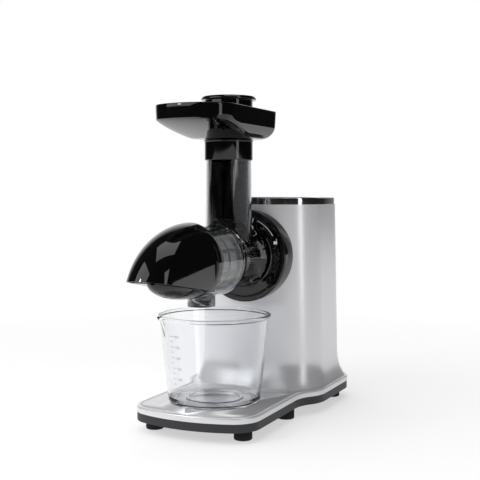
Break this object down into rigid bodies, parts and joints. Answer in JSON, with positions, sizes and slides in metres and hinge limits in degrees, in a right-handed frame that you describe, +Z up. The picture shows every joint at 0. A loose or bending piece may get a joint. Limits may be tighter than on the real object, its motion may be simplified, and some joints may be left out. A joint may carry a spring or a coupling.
{
  "type": "cold press juicer",
  "caption": "Horizontal slow juicer: motor tower on a low base, clear juicing drum with auger, feed tube, tray, pusher, pulp nose and a clear jug.",
  "frame": {"origin": "bottom centre of the box, on the surface that the feet stand on", "axes": "+Z up, -Y towards the pulp nose, +X to the right seen from the front"},
  "size_m": [0.192, 0.4104, 0.391],
  "materials": {
    "feet": "matte",
    "pan": "matte",
    "silver": "satin",
    "black": "gloss",
    "chrome": "polished",
    "clear": "clear",
    "jug_clear": "clear",
    "steel": "brushed",
    "auger_plastic": "satin",
    "nylon": "matte",
    "grey": "matte",
    "bronze": "satin",
    "board": "satin",
    "seal": "matte",
    "magnet": "matte",
    "cap_black": "gloss"
  },
  "bodies": {
    "base": {"feet": "feet", "base_pan": "pan", "base_plate": "silver", "base_screws": "steel", "tower_shell": "silver", "flange": "black", "flange_screws": "steel", "trim_ring": "chrome", "top_deck": "black", "control_board": "board", "board_screws": "steel", "tact_switches": "grey", "rear_cover": "pan", "rear_screws": "steel", "cord_inlet": "feet", "drive_bracket": "steel", "gearbox_housing": "grey", "gearbox_cover": "grey", "gearbox_screws": "steel", "output_bearings": "bronze", "counter_bushes": "bronze", "motor_can": "steel", "motor_end": "grey", "motor_bushes": "bronze", "motor_magnets": "magnet"},
    "power_button": {"power_button": "black"},
    "reverse_button": {"reverse_button": "black"},
    "speed_button": {"speed_button": "black"},
    "auger": {"auger": "auger_plastic", "output_shaft": "steel", "output_wheel": "nylon"},
    "counter": {"counter_shaft": "steel", "counter_pinion": "steel", "counter_wheel": "nylon"},
    "rotor": {"motor_shaft": "steel", "motor_rotor": "magnet", "motor_pinion": "steel", "cooling_fan": "grey"},
    "drum": {"juicing_drum": "clear", "auger_seal": "seal", "strainer": "steel"},
    "end_cap": {"end_cap": "cap_black", "front_bush": "nylon"},
    "hopper": {"hopper": "black"},
    "pusher": {"pusher": "cap_black"},
    "jug": {"jug": "jug_clear"}
  },
  "joints": [
    {"name": "power_button_press", "type": "slide", "parent": "base", "child": "power_button", "axis": [0, 0, -1], "range_m": [0, 0.001], "stiffness_N_per_m": 400},
    {"name": "reverse_button_press", "type": "slide", "parent": "base", "child": "reverse_button", "axis": [0, 0, -1], "range_m": [0, 0.001], "stiffness_N_per_m": 400},
    {"name": "speed_button_press", "type": "slide", "parent": "base", "child": "speed_button", "axis": [0, 0, -1], "range_m": [0, 0.001], "stiffness_N_per_m": 400},
    {"name": "auger_spin", "type": "hinge", "parent": "base", "child": "auger", "pos_m": [0, 0.10125, 0.197], "axis": [0, 1, 0], "continuous": true},
    {"name": "counter_spin", "type": "hinge", "parent": "base", "child": "counter", "pos_m": [0, 0.10125, 0.152], "axis": [0, 1, 0], "continuous": true},
    {"name": "rotor_spin", "type": "hinge", "parent": "base", "child": "rotor", "pos_m": [0, 0.10125, 0.1196], "axis": [0, 1, 0], "continuous": true},
    {"name": "drum_turn", "type": "hinge", "parent": "base", "child": "drum", "pos_m": [0, -0.01875, 0.197], "axis": [0, 1, 0], "range_deg": [-30, 0]},
    {"name": "end_cap_pull", "type": "slide", "parent": "drum", "child": "end_cap", "axis": [0, -1, 0], "range_m": [0, 0.06]},
    {"name": "hopper_lift", "type": "slide", "parent": "drum", "child": "hopper", "axis": [0, 0, 1], "range_m": [0, 0.04]},
    {"name": "pusher_lift", "type": "slide", "parent": "hopper", "child": "pusher", "axis": [0, 0, 1], "range_m": [0, 0.13]},
    {"name": "jug_slide", "type": "slide", "parent": "base", "child": "jug", "axis": [0, -1, 0], "range_m": [0, 0.16]}
  ],
  "couplings": [
    {"joint": "counter_spin", "follows": "auger_spin", "ratio": -5},
    {"joint": "rotor_spin", "follows": "auger_spin", "ratio": 25}
  ]
}
